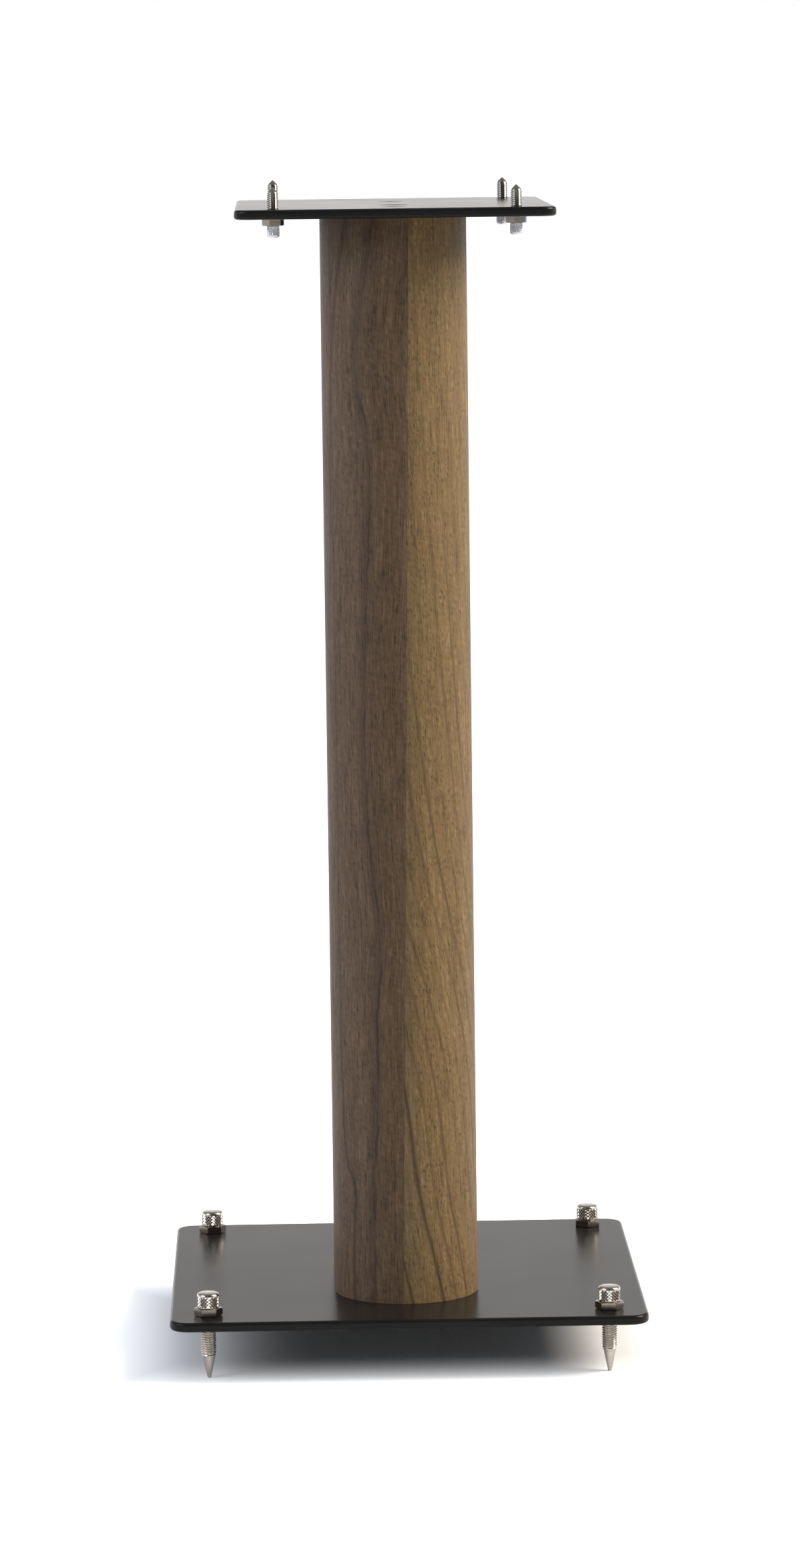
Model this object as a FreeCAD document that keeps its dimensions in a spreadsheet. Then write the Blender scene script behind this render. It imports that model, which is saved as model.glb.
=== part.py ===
import FreeCAD, Part
import math
import os
import Sketcher

# Speaker stand: a base plate on four floor spikes, a round-nosed wooden column and a top plate
# with four studs. Millimetres. +Z is up, +Y points away from the viewer and +X to the right. The
# origin is on the floor, under the middle of the two plates, at the level of the spike tips.

doc = FreeCAD.newDocument("speaker_stand")
sheet = doc.addObject("Spreadsheet::Sheet", "dims")

# Driving dimensions
SIZES = (
    ("base_width", 250, "base plate, left to right"),
    ("base_depth", 250, "base plate, front to rear"),
    ("base_thickness", 5, "base plate"),
    ("base_corner", 10, "base plate, radius of its corners in plan"),
    ("top_width", 165, "top plate, left to right"),
    ("top_depth", 220, "top plate, front to rear"),
    ("top_thickness", 5, "top plate"),
    ("top_corner", 8, "top plate, radius of its corners in plan"),
    ("plate_round", 1.6, "rounding of both plates' upper and lower edges"),
    ("column_height", 570, "between the two plates"),
    ("column_width", 76, "outside the veneer, which is also the diameter of both noses"),
    ("column_depth", 138, "outside the veneer, nose to nose"),
    ("column_front", 88, "front nose ahead of the middle of the plates"),
    ("veneer_thickness", 0.6, "walnut leaf"),
    ("shell_thickness", 5.4, "bent plywood under the veneer"),
    ("glue_line", 0.05, "film of glue between two glued pieces"),
    ("block_height", 60, "end blocks in the foot and head of the column"),
    ("strip_width", 24, "joint strips behind the seams"),
    ("strip_thickness", 9, "joint strips"),
    ("end_screw_setback", 15, "small screws behind the front nose and ahead of the rear nose"),
    ("main_screw_setback", 51, "large screw behind the front nose"),
    ("main_screw_radius", 4, "large screw, thread"),
    ("main_screw_length", 25, "large screw, over its flush head"),
    ("main_head_radius", 8, "large screw, countersunk head"),
    ("main_socket_flats", 5, "large screw, hexagon socket"),
    ("main_insert_length", 22, "threaded insert of the large screw"),
    ("small_screw_radius", 3, "small screws, thread"),
    ("small_screw_length", 20, "small screws, over the flush head"),
    ("small_head_radius", 6, "small screws, countersunk head"),
    ("small_socket_flats", 4, "small screws, hexagon socket"),
    ("small_insert_length", 17, "threaded inserts of the small screws"),
    ("insert_wall", 1.7, "threaded inserts, from the thread to the outside"),
    ("socket_depth", 2.2, "hexagon sockets of all screws"),
    ("screw_hole_gap", 0.25, "round a screw in its plate, all the way up the countersink"),
    ("thread_gap", 0.05, "round a thread in its hole"),
    ("seat_gap", 0.05, "between a nut or a head and what it is screwed down on"),
    ("foot_inset", 20, "floor spikes from the edges of the base plate"),
    ("spike_drop", 28.5, "underside of the base plate above the floor"),
    ("spike_radius", 4, "floor spike, crest of its thread"),
    ("spike_held_radius", 3.8, "floor spike above the base plate's underside, near the pitch radius"),
    ("spike_neck_radius", 3.1, "floor spike, upper end of the cone"),
    ("spike_cone_height", 11.3, "floor spike, cone from the tip"),
    ("spike_runout", 1.3, "floor spike, from the cone to the full thread"),
    ("spike_tip_radius", 0.9, "floor spike, blunt tip"),
    ("spike_grip", 5.4, "floor spike inside its knob"),
    ("foot_nut_flats", 13, "lock nut of a floor spike, across its flats"),
    ("foot_nut_height", 4, "lock nut of a floor spike"),
    ("knob_radius", 5.95, "knob of a floor spike, crest of its knurl"),
    ("knob_height", 7.9, "knob of a floor spike"),
    ("knob_round", 1.6, "knob, rounding of its top rim"),
    ("stud_inset", 20, "studs from the edges of the top plate"),
    ("stud_height", 11, "stud tip above the top plate"),
    ("stud_radius", 3, "stud, crest of its thread"),
    ("stud_held_radius", 2.8, "stud below the top plate's upper face, near the pitch radius"),
    ("stud_point_height", 2.4, "stud, cone below the tip"),
    ("stud_point_radius", 2.7, "stud, lower end of the cone"),
    ("stud_tip_radius", 0.3, "stud, blunt tip"),
    ("stud_nut_flats", 10, "lock nut of a stud, across its flats"),
    ("stud_nut_height", 3.6, "lock nut of a stud"),
    ("stud_head_radius", 3.3, "fluted head of a stud, crest of its flutes"),
    ("stud_head_height", 5.9, "fluted head of a stud"),
    ("stud_head_round", 1.2, "fluted head, rounding of its lower rim"),
    ("spigot_radius", 1.5, "stud, plain end inside its head"),
    ("spigot_length", 4, "stud, plain end inside its head"),
    ("nut_land", 0.3, "chamfer of a nut, start inside its flats"),
    ("break_edge", 0.4, "small chamfers at the ends of threads and knobs"),
)
for row, (alias, size, note) in enumerate(SIZES, start=1):
    sheet.set(f"A{row}", note)
    sheet.set(f"B{row}", str(size))
    sheet.setAlias(f"B{row}", alias)
doc.recompute()

# Heights and places that follow from them
BASE_TOP = "(dims.spike_drop + dims.base_thickness)"
COLUMN_TOP = f"({BASE_TOP} + dims.column_height)"
TOP_SURFACE = f"({COLUMN_TOP} + dims.top_thickness)"
FRONT_CENTRE = "(dims.column_width / 2 - dims.column_front)"
REAR_CENTRE = "(dims.column_depth - dims.column_width / 2 - dims.column_front)"
VENEER_INSIDE = "(dims.column_width / 2 - dims.veneer_thickness)"
SHELL_OUTSIDE = f"({VENEER_INSIDE} - dims.glue_line)"
SHELL_INSIDE = f"({SHELL_OUTSIDE} - dims.shell_thickness)"
CORE_OUTSIDE = f"({SHELL_INSIDE} - dims.glue_line)"
FRONT_SCREW_Y = "(dims.end_screw_setback - dims.column_front)"
MAIN_SCREW_Y = "(dims.main_screw_setback - dims.column_front)"
REAR_SCREW_Y = "(dims.column_depth - dims.end_screw_setback - dims.column_front)"
FOOT_X = "(dims.base_width / 2 - dims.foot_inset)"
FOOT_Y = "(dims.base_depth / 2 - dims.foot_inset)"
STUD_X = "(dims.top_width / 2 - dims.stud_inset)"
STUD_Y = "(dims.top_depth / 2 - dims.stud_inset)"

# Each corner's name, its side in X and Y, and how far its two lock nuts happen to be turned, in degrees
CORNERS = (
    ("front_left", -1, -1, 4, 12),
    ("front_right", 1, -1, -7, 21),
    ("rear_left", -1, 1, 9, 2),
    ("rear_right", 1, 1, 30, -16),
)

LEFT_TURN = 1
RIGHT_TURN = -1
HEXAGON_SIDES = 6
NUT_CHAMFER_ANGLE = 30
FLAT = 1e-4

pieces = {}


def value(expression):
    """What an expression of the sheet comes to, as a plain number."""
    return float(sheet.evalExpression(expression))


def new_body(name, x="0", y="0", z="0"):
    """An empty body whose own origin stands at x, y, z."""
    body = doc.addObject("PartDesign::Body", name)
    for axis, place in zip("xyz", (x, y, z)):
        body.setExpression(f"Placement.Base.{axis}", place)
    return body


def new_sketch(body, name, plane):
    """An empty sketch on one of the body's own origin planes."""
    sketch = body.newObject("Sketcher::SketchObject", f"{body.Name}_{name}")
    origin_plane = next(item for item in body.Origin.OriginFeatures if item.Role == plane)
    sketch.AttachmentSupport = [(origin_plane, "")]
    sketch.MapMode = "FlatFace"
    return sketch


def bind(sketch, kind, name, *where, size):
    """One dimension of a sketch, tied to an expression."""
    number = sketch.addConstraint(Sketcher.Constraint(kind, *where, value(size)))
    sketch.renameConstraint(number, name)
    sketch.setExpression(f"Constraints.{name}", size)


def arc_between(start, end, radius, turn):
    """The short arc from start to end. It bends to the left or to the right of the straight way."""
    chord = end.sub(start)
    to_centre = math.sqrt(radius**2 - (chord.Length / 2) ** 2)
    across = FreeCAD.Vector(-chord.y, chord.x, 0).normalize()
    centre = start + chord * 0.5 + across * (turn * to_centre)
    first, last = (start, end) if turn == LEFT_TURN else (end, start)
    angles = [math.atan2(spot.y - centre.y, spot.x - centre.x) for spot in (first, last)]
    return Part.ArcOfCircle(Part.Circle(centre, FreeCAD.Vector(0, 0, 1), radius), *angles)


def draw(sketch, points):
    """A closed line through points (x, y). From a point (x, y, radius, turn) the line goes on as an arc."""
    first_side = sketch.GeometryCount
    spots = [FreeCAD.Vector(value(point[0]), value(point[1]), 0) for point in points]
    ends = []
    for number, point in enumerate(points):
        start, end = spots[number], spots[(number + 1) % len(spots)]
        if len(point) == 2:
            sketch.addGeometry(Part.LineSegment(start, end), False)
            ends.append((1, 2))
        else:
            radius, turn = point[2:]
            sketch.addGeometry(arc_between(start, end, value(radius), turn), False)
            ends.append((1, 2) if turn == LEFT_TURN else (2, 1))
    for number, point in enumerate(points):
        side = first_side + number
        following = (number + 1) % len(points)
        joined = (side, ends[number][1], first_side + following, ends[following][0])
        sketch.addConstraint(Sketcher.Constraint("Coincident", *joined))
        bind(sketch, "DistanceX", f"across_{side}", side, ends[number][0], size=point[0])
        bind(sketch, "DistanceY", f"along_{side}", side, ends[number][0], size=point[1])
        if len(point) > 2:
            bind(sketch, "Radius", f"radius_{side}", side, size=point[2])


def draw_circle(sketch, x, y, radius):
    """A full circle at x, y."""
    side = sketch.GeometryCount
    centre = FreeCAD.Vector(value(x), value(y), 0)
    sketch.addGeometry(Part.Circle(centre, FreeCAD.Vector(0, 0, 1), value(radius)), False)
    bind(sketch, "DistanceX", f"across_{side}", side, 3, size=x)
    bind(sketch, "DistanceY", f"along_{side}", side, 3, size=y)
    bind(sketch, "Radius", f"radius_{side}", side, size=radius)


def pad(body, sketch, length):
    """Material from the sketch upwards."""
    feature = body.newObject("PartDesign::Pad", f"{sketch.Name}_pad")
    feature.Profile = sketch
    feature.setExpression("Length", length)
    doc.recompute()


def pocket(body, sketch, depth):
    """A recess from the sketch upwards. It has to take material away."""
    before = body.Shape.Volume
    feature = body.newObject("PartDesign::Pocket", f"{sketch.Name}_pocket")
    feature.Profile = sketch
    feature.Reversed = True
    feature.setExpression("Length", depth)
    doc.recompute()
    if body.Shape.Volume >= before:
        raise SystemExit(f"{feature.Name} cuts nothing")


def turn_profile(body, sketch, kind="PartDesign::Revolution"):
    """A full turn of the sketch about the body's upright axis, added, or cut away with a Groove."""
    before = body.Shape.Volume if kind == "PartDesign::Groove" else None
    feature = body.newObject(kind, f"{sketch.Name}_turned")
    feature.Profile = sketch
    feature.ReferenceAxis = (sketch, ["V_Axis"])
    doc.recompute()
    if before is not None and body.Shape.Volume >= before:
        raise SystemExit(f"{feature.Name} cuts nothing")


def edge_names(shape, wanted):
    """The names of the shape's edges that pass the test."""
    return [f"Edge{number}" for number, edge in enumerate(shape.Edges, start=1) if wanted(edge)]


def dress(body, kind, name, prop, wanted, size):
    """A fillet or chamfer, its size tied to an expression, on the edges of the body that are wanted."""
    base = body.Tip
    feature = body.newObject(kind, f"{body.Name}_{name}")
    feature.Base = (base, edge_names(base.Shape, wanted))
    feature.setExpression(prop, size)
    doc.recompute()


def keep(name, piece):
    """Names a finished piece."""
    piece.Label = name
    pieces[name] = piece


def flip(body):
    """Turns a body over about its own Y axis, so that what it builds upwards hangs down."""
    body.Placement = FreeCAD.Placement(body.Placement.Base, FreeCAD.Rotation(FreeCAD.Vector(0, 1, 0), 180))


# Plates: steel sheet cut to a rectangle with round corners, with the holes for threads and screws


def make_plate(name, sizes, corner_holes, outer_face, bottom):
    """A plate with a threaded hole near each corner and three countersunk screw holes on its outer face."""
    width, depth = f"dims.{sizes}_width", f"dims.{sizes}_depth"
    thickness, corner = f"dims.{sizes}_thickness", f"dims.{sizes}_corner"
    body = new_body(name, z=bottom)
    sketch = new_sketch(body, "outline", "XY_Plane")
    right, rear = f"{width} / 2", f"{depth} / 2"
    draw(
        sketch,
        (
            (f"-{right} + {corner}", f"-{rear}"),
            (f"{right} - {corner}", f"-{rear}", corner, LEFT_TURN),
            (right, f"-{rear} + {corner}"),
            (right, f"{rear} - {corner}", corner, LEFT_TURN),
            (f"{right} - {corner}", rear),
            (f"-{right} + {corner}", rear, corner, LEFT_TURN),
            (f"-{right}", f"{rear} - {corner}"),
            (f"-{right}", f"-{rear} + {corner}", corner, LEFT_TURN),
        ),
    )
    hole_x, hole_y, hole_radius = corner_holes
    for _, side_x, side_y, *_ in CORNERS:
        draw_circle(sketch, f"{side_x} * {hole_x}", f"{side_y} * {hole_y}", hole_radius)
    for place, size in ((FRONT_SCREW_Y, "small"), (MAIN_SCREW_Y, "main"), (REAR_SCREW_Y, "small")):
        draw_circle(sketch, "0", place, f"dims.{size}_screw_radius + dims.screw_hole_gap")
    pad(body, sketch, thickness)
    outer_z = value(thickness) if outer_face == "top" else 0
    half_width, half_depth = value(right), value(rear)

    def is_rim(edge):
        box = edge.BoundBox
        reach_x = max(-box.XMin, box.XMax) / half_width
        reach_y = max(-box.YMin, box.YMax) / half_depth
        return box.ZLength < FLAT and max(reach_x, reach_y) > 1 - FLAT

    def is_screw_hole(edge, size):
        box = edge.BoundBox
        diameter = 2 * value(f"dims.{size}_screw_radius + dims.screw_hole_gap")
        on_face = box.ZLength < FLAT and abs(box.ZMin - outer_z) < FLAT
        return on_face and abs(box.XLength - diameter) < FLAT and abs(box.Center.x) < FLAT

    dress(body, "PartDesign::Fillet", "rounding", "Radius", is_rim, "dims.plate_round")
    for size in ("main", "small"):
        dress(
            body,
            "PartDesign::Chamfer",
            f"{size}_countersink",
            "Size",
            lambda edge, size=size: is_screw_hole(edge, size),
            f"dims.{size}_head_radius - dims.{size}_screw_radius",
        )
    keep(name, body)


make_plate(
    "base_plate",
    "base",
    (FOOT_X, FOOT_Y, "dims.spike_radius + dims.thread_gap"),
    "bottom",
    "dims.spike_drop",
)
make_plate(
    "top_plate",
    "top",
    (STUD_X, STUD_Y, "dims.stud_radius + dims.thread_gap"),
    "top",
    COLUMN_TOP,
)

# Column: two bent shells under two leaves of veneer, joined along the front and rear centre lines


def half_ring(side, outside, inside):
    """The outline of one half of a round-nosed ring. side is -1 for the left half and 1 for the right."""
    inward = LEFT_TURN if side > 0 else RIGHT_TURN
    outward = -inward
    return (
        ("0", f"{FRONT_CENTRE} - {outside}", outside, inward),
        (f"{side} * {outside}", FRONT_CENTRE),
        (f"{side} * {outside}", REAR_CENTRE, outside, inward),
        ("0", f"{REAR_CENTRE} + {outside}"),
        ("0", f"{REAR_CENTRE} + {inside}", inside, outward),
        (f"{side} * {inside}", REAR_CENTRE),
        (f"{side} * {inside}", FRONT_CENTRE, inside, outward),
        ("0", f"{FRONT_CENTRE} - {inside}"),
    )


def make_half(name, side, outside, inside):
    """One half of the column's wall over its whole height."""
    body = new_body(name, z=BASE_TOP)
    sketch = new_sketch(body, "section", "XY_Plane")
    draw(sketch, half_ring(side, outside, inside))
    pad(body, sketch, "dims.column_height")
    keep(name, body)


for hand, side in (("left", -1), ("right", 1)):
    make_half(f"column_shell_{hand}", side, SHELL_OUTSIDE, SHELL_INSIDE)
    make_half(f"veneer_{hand}", side, "dims.column_width / 2", VENEER_INSIDE)


def make_strip(name, nose, end):
    """A joint strip that fills the inside of a nose. end is -1 at the front and 1 at the rear."""
    half = "dims.strip_width / 2"
    crown = f"{nose} + {end} * sqrt(pow({CORE_OUTSIDE}; 2) - pow({half}; 2))"
    back = f"{nose} + {end} * ({CORE_OUTSIDE} - dims.strip_thickness)"
    body = new_body(name, z=f"{BASE_TOP} + dims.block_height + dims.glue_line")
    sketch = new_sketch(body, "section", "XY_Plane")
    turn = LEFT_TURN if end < 0 else RIGHT_TURN
    draw(sketch, ((f"-{half}", crown, CORE_OUTSIDE, turn), (half, crown), (half, back), (f"-{half}", back)))
    pad(body, sketch, "dims.column_height - 2 * (dims.block_height + dims.glue_line)")
    keep(name, body)


make_strip("front_joint_strip", FRONT_CENTRE, -1)
make_strip("rear_joint_strip", REAR_CENTRE, 1)


# Ends of the column: blocks with threaded inserts, and countersunk screws through the plates


def insert_radius(size):
    """Outside of a threaded insert."""
    return f"(dims.{size}_screw_radius + dims.insert_wall)"


def make_block(name, bottom):
    """An end block, built up from its face on the plate, with a pocket for each insert."""
    body = new_body(name, z=bottom)
    sketch = new_sketch(body, "section", "XY_Plane")
    draw(
        sketch,
        (
            ("0", f"{FRONT_CENTRE} - {CORE_OUTSIDE}", CORE_OUTSIDE, LEFT_TURN),
            (CORE_OUTSIDE, FRONT_CENTRE),
            (CORE_OUTSIDE, REAR_CENTRE, CORE_OUTSIDE, LEFT_TURN),
            ("0", f"{REAR_CENTRE} + {CORE_OUTSIDE}", CORE_OUTSIDE, LEFT_TURN),
            (f"-{CORE_OUTSIDE}", REAR_CENTRE),
            (f"-{CORE_OUTSIDE}", FRONT_CENTRE, CORE_OUTSIDE, LEFT_TURN),
        ),
    )
    pad(body, sketch, "dims.block_height")
    for size, places in (("main", (MAIN_SCREW_Y,)), ("small", (FRONT_SCREW_Y, REAR_SCREW_Y))):
        holes = new_sketch(body, f"{size}_holes", "XY_Plane")
        for place in places:
            draw_circle(holes, "0", place, f"{insert_radius(size)} + dims.glue_line")
        pocket(body, holes, f"dims.{size}_insert_length")
    return body


def make_insert(name, size, place, bottom):
    """A threaded insert, flush with the face of its block."""
    body = new_body(name, y=place, z=bottom)
    sketch = new_sketch(body, "section", "XY_Plane")
    draw_circle(sketch, "0", "0", insert_radius(size))
    draw_circle(sketch, "0", "0", f"dims.{size}_screw_radius + dims.thread_gap")
    pad(body, sketch, f"dims.{size}_insert_length")
    return body


def make_screw(name, size, place, bottom):
    """A countersunk screw, built up from its flush face, with a hexagon socket."""
    head, radius = f"dims.{size}_head_radius", f"dims.{size}_screw_radius"
    length = f"dims.{size}_screw_length"
    body = new_body(name, y=place, z=bottom)
    profile = new_sketch(body, "profile", "XZ_Plane")
    draw(
        profile,
        (
            ("0", "0"),
            (head, "0"),
            (radius, f"{head} - {radius}"),
            (radius, f"{length} - dims.break_edge"),
            (f"{radius} - dims.break_edge", length),
            ("0", length),
        ),
    )
    turn_profile(body, profile)
    socket = new_sketch(body, "socket", "XY_Plane")
    draw(socket, hexagon(f"dims.{size}_socket_flats"))
    pocket(body, socket, "dims.socket_depth")
    return body


def hexagon(flats):
    """The corners of a hexagon with a flat towards the front."""
    corner = f"{flats} / sqrt(3)"
    turns = [step * 360 / HEXAGON_SIDES for step in range(HEXAGON_SIDES)]
    return tuple((f"{corner} * cos({turn})", f"{corner} * sin({turn})") for turn in turns)


def make_end(end, block_name, face, plate_outside, hanging):
    """A block with its inserts and screws. hanging is true at the head, where they are built downwards."""
    block = make_block(block_name, face)
    inserts = [make_insert(f"{end}_insert_{name}", size, place, face) for name, size, place in SCREWS]
    screws = [make_screw(f"{end}_screw_{name}", size, place, plate_outside) for name, size, place in SCREWS]
    if hanging:
        for body in (block, *inserts, *screws):
            flip(body)
    keep(block_name, block)
    for kind, bodies in (("insert", inserts), ("screw", screws)):
        keep(f"{end}_{kind}_main", bodies[0])
        pair = doc.addObject("Part::Compound", f"{end}_{kind}_pair")
        pair.Links = bodies[1:]
        keep(f"{end}_{kind}s_small", pair)


SCREWS = (("main", "main", MAIN_SCREW_Y), ("front", "small", FRONT_SCREW_Y), ("rear", "small", REAR_SCREW_Y))
make_end("base", "foot_block", BASE_TOP, "dims.spike_drop", False)
make_end("top", "head_block", COLUMN_TOP, TOP_SURFACE, True)


# Lock nuts, floor spikes with their knobs, and studs with their heads


def make_nut(name, size, radius, corner, bottom, turn):
    """A thin lock nut with both rims chamfered, turned as it happens to sit."""
    x, y = corner
    flats, height = f"dims.{size}_nut_flats", f"dims.{size}_nut_height"
    body = new_body(name, x, y, bottom)
    body.Placement = FreeCAD.Placement(body.Placement.Base, FreeCAD.Rotation(FreeCAD.Vector(0, 0, 1), turn))
    sketch = new_sketch(body, "section", "XY_Plane")
    draw(sketch, hexagon(flats))
    draw_circle(sketch, "0", "0", f"{radius} + dims.thread_gap")
    pad(body, sketch, height)
    start = f"{flats} / 2 - dims.nut_land"
    beyond = f"{flats} / sqrt(3) + dims.nut_land"
    drop = f"({beyond} - {start}) * tan({NUT_CHAMFER_ANGLE})"
    for rim, face, edge in (("upper", height, f"{height} - {drop}"), ("lower", "0", drop)):
        profile = new_sketch(body, f"{rim}_chamfer", "XZ_Plane")
        draw(profile, ((start, face), (beyond, face), (beyond, edge)))
        turn_profile(body, profile, "PartDesign::Groove")
    keep(name, body)


def make_turned(name, corner, bottom, points):
    """A turned piece on a corner's axis, from half of its section."""
    x, y = corner
    body = new_body(name, x, y, bottom)
    profile = new_sketch(body, "profile", "XZ_Plane")
    draw(profile, points)
    turn_profile(body, profile)
    keep(name, body)


FOOT_NUT_SEAT = f"({BASE_TOP} + dims.seat_gap)"
KNOB_SEAT = f"({FOOT_NUT_SEAT} + dims.foot_nut_height + dims.seat_gap)"
SPIKE_TOP = f"({KNOB_SEAT} + dims.spike_grip)"
STUD_NUT_SEAT = f"({COLUMN_TOP} - dims.seat_gap - dims.stud_nut_height)"
HEAD_TOP = f"({STUD_NUT_SEAT} - dims.seat_gap)"
STUD_LENGTH = f"({TOP_SURFACE} + dims.stud_height - {HEAD_TOP})"
KNOB_BORE = "(dims.spike_held_radius + dims.thread_gap)"
HEAD_BORE = "(dims.spigot_radius + dims.thread_gap)"

SPIKE = (
    ("0", "0"),
    ("dims.spike_tip_radius", "0"),
    ("dims.spike_neck_radius", "dims.spike_cone_height"),
    ("dims.spike_radius", "dims.spike_cone_height + dims.spike_runout"),
    ("dims.spike_radius", "dims.spike_drop"),
    ("dims.spike_held_radius", "dims.spike_drop"),
    ("dims.spike_held_radius", f"{SPIKE_TOP} - dims.break_edge"),
    ("dims.spike_held_radius - dims.break_edge", SPIKE_TOP),
    ("0", SPIKE_TOP),
)
KNOB = (
    (KNOB_BORE, "0"),
    ("dims.knob_radius - dims.break_edge", "0"),
    ("dims.knob_radius", "dims.break_edge"),
    ("dims.knob_radius", "dims.knob_height - dims.knob_round", "dims.knob_round", LEFT_TURN),
    ("dims.knob_radius - dims.knob_round", "dims.knob_height"),
    ("0", "dims.knob_height"),
    ("0", "dims.spike_grip + dims.seat_gap"),
    (KNOB_BORE, "dims.spike_grip + dims.seat_gap"),
)
# A stud is measured upwards from the top of its head
STUD = (
    ("0", "-dims.spigot_length"),
    ("dims.spigot_radius", "-dims.spigot_length"),
    ("dims.spigot_radius", "dims.seat_gap"),
    ("dims.stud_held_radius", "dims.seat_gap"),
    ("dims.stud_held_radius", f"{STUD_LENGTH} - dims.stud_height"),
    ("dims.stud_radius", f"{STUD_LENGTH} - dims.stud_height"),
    ("dims.stud_radius", f"{STUD_LENGTH} - dims.stud_point_height"),
    ("dims.stud_point_radius", f"{STUD_LENGTH} - dims.stud_point_height"),
    ("dims.stud_tip_radius", STUD_LENGTH),
    ("0", STUD_LENGTH),
)
STUD_HEAD = (
    ("0", "0"),
    ("dims.stud_head_radius - dims.stud_head_round", "0", "dims.stud_head_round", LEFT_TURN),
    ("dims.stud_head_radius", "dims.stud_head_round"),
    ("dims.stud_head_radius", "dims.stud_head_height"),
    (HEAD_BORE, "dims.stud_head_height"),
    (HEAD_BORE, "dims.stud_head_height - dims.spigot_length - dims.seat_gap"),
    ("0", "dims.stud_head_height - dims.spigot_length - dims.seat_gap"),
)

for place, side_x, side_y, foot_nut_turn, stud_nut_turn in CORNERS:
    foot = (f"{side_x} * {FOOT_X}", f"{side_y} * {FOOT_Y}")
    stud = (f"{side_x} * {STUD_X}", f"{side_y} * {STUD_Y}")
    make_turned(f"foot_spike_{place}", foot, "0", SPIKE)
    make_nut(f"foot_nut_{place}", "foot", "dims.spike_radius", foot, FOOT_NUT_SEAT, foot_nut_turn)
    make_turned(f"foot_knob_{place}", foot, KNOB_SEAT, KNOB)
    make_turned(f"top_stud_{place}", stud, HEAD_TOP, STUD)
    make_nut(f"stud_nut_{place}", "stud", "dims.stud_radius", stud, STUD_NUT_SEAT, stud_nut_turn)
    make_turned(f"stud_head_{place}", stud, f"{HEAD_TOP} - dims.stud_head_height", STUD_HEAD)


# Check and write

doc.recompute()
for item in doc.Objects:
    if "Invalid" in item.State or "Error" in item.State:
        raise SystemExit(f"{item.Name} failed: {item.State}")
for name, piece in pieces.items():
    if piece.Shape.isNull() or not piece.Shape.isValid():
        raise SystemExit(f"{name} has no sound shape")

os.makedirs("parts", exist_ok=True)
for name, piece in pieces.items():
    piece.Shape.exportStep(os.path.join("parts", f"{name}.step"))
    solids = piece.Shape.Solids
    print(f"{name}: {len(solids)} solid(s), {sum(solid.Volume for solid in solids):.1f} mm3")
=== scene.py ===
# %% [markdown]
# # A speaker stand with a walnut column
# A round-nosed column, faced with two leaves of dark walnut, stands between two steel plates in satin
# black. Four threaded spikes hold the stand off the floor, and four studs wait for a loudspeaker. The
# plates, the nuts and everything inside the column keep their CAD meshes and only get a finish. The
# veneer, the threads, the knurled knobs and the fluted heads are made here, because they are plain
# solids in CAD.

from math import cos, pi, radians, sin, tau

import bmesh
import bpy
from mathutils import Matrix, Vector


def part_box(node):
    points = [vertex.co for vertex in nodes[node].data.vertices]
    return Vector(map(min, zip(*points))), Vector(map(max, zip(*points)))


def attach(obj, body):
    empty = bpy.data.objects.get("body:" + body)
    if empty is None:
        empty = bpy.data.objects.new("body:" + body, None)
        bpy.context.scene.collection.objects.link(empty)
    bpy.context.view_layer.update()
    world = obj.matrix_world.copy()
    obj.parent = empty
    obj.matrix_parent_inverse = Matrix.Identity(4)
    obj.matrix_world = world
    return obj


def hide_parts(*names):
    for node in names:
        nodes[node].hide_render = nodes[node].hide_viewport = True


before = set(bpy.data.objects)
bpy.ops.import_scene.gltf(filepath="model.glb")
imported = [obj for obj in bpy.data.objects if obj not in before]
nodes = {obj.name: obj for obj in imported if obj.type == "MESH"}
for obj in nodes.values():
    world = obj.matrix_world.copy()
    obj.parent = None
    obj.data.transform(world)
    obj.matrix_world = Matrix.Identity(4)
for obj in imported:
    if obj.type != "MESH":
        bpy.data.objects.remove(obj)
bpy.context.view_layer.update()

MM = 0.001
LEFT, RIGHT = -1, 1
CORNERS = ("front_left", "front_right", "rear_left", "rear_right")

# %% [markdown]
# ## Turned pieces
# Spikes, knobs, studs and heads all come off a lathe. Each could be a few cylinders and cones set on
# one another, but then it would be several skins. Here it is one closed skin: a stack of rings, each
# with a height and either one radius or a radius for every step round it.

# %% Mesh helpers


def new_object(name, mesh):
    """An object for the mesh, in the scene."""
    piece = bpy.data.objects.new(name, mesh)
    bpy.context.scene.collection.objects.link(piece)
    return piece


def centre_of(node):
    """The middle of a CAD piece, seen from above."""
    low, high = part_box(node)
    return (low.x + high.x) / 2, (low.y + high.y) / 2


def stack_rings(bm, rings, centre, steps):
    """Rings joined into a wall round the centre and closed at both ends. Gives their vertices."""
    rows = []
    for height, radii in rings:
        row = []
        for step in range(steps):
            angle = tau * step / steps
            radius = radii[step] if isinstance(radii, list) else radii
            place = (centre[0] + radius * cos(angle), centre[1] + radius * sin(angle), height)
            row.append(bm.verts.new(place))
        rows.append(row)
    for lower, upper in zip(rows, rows[1:]):
        for step in range(steps):
            following = (step + 1) % steps
            bm.faces.new((lower[step], lower[following], upper[following], upper[step]))
    bm.faces.new(rows[0][::-1])
    bm.faces.new(rows[-1])
    return rows


def finish_mesh(bm, name, sharp_angle):
    """The bmesh as an object, smooth except along edges sharper than the angle."""
    mesh = bpy.data.meshes.new(name)
    bm.to_mesh(mesh)
    bm.free()
    for face in mesh.polygons:
        face.use_smooth = True
    mesh.set_sharp_from_angle(angle=sharp_angle)
    return new_object(name, mesh)


def stand_in_for(piece, node):
    """The piece takes a metal fitting's place and moves with its body."""
    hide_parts(node)
    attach(piece, node)
    return piece


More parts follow.
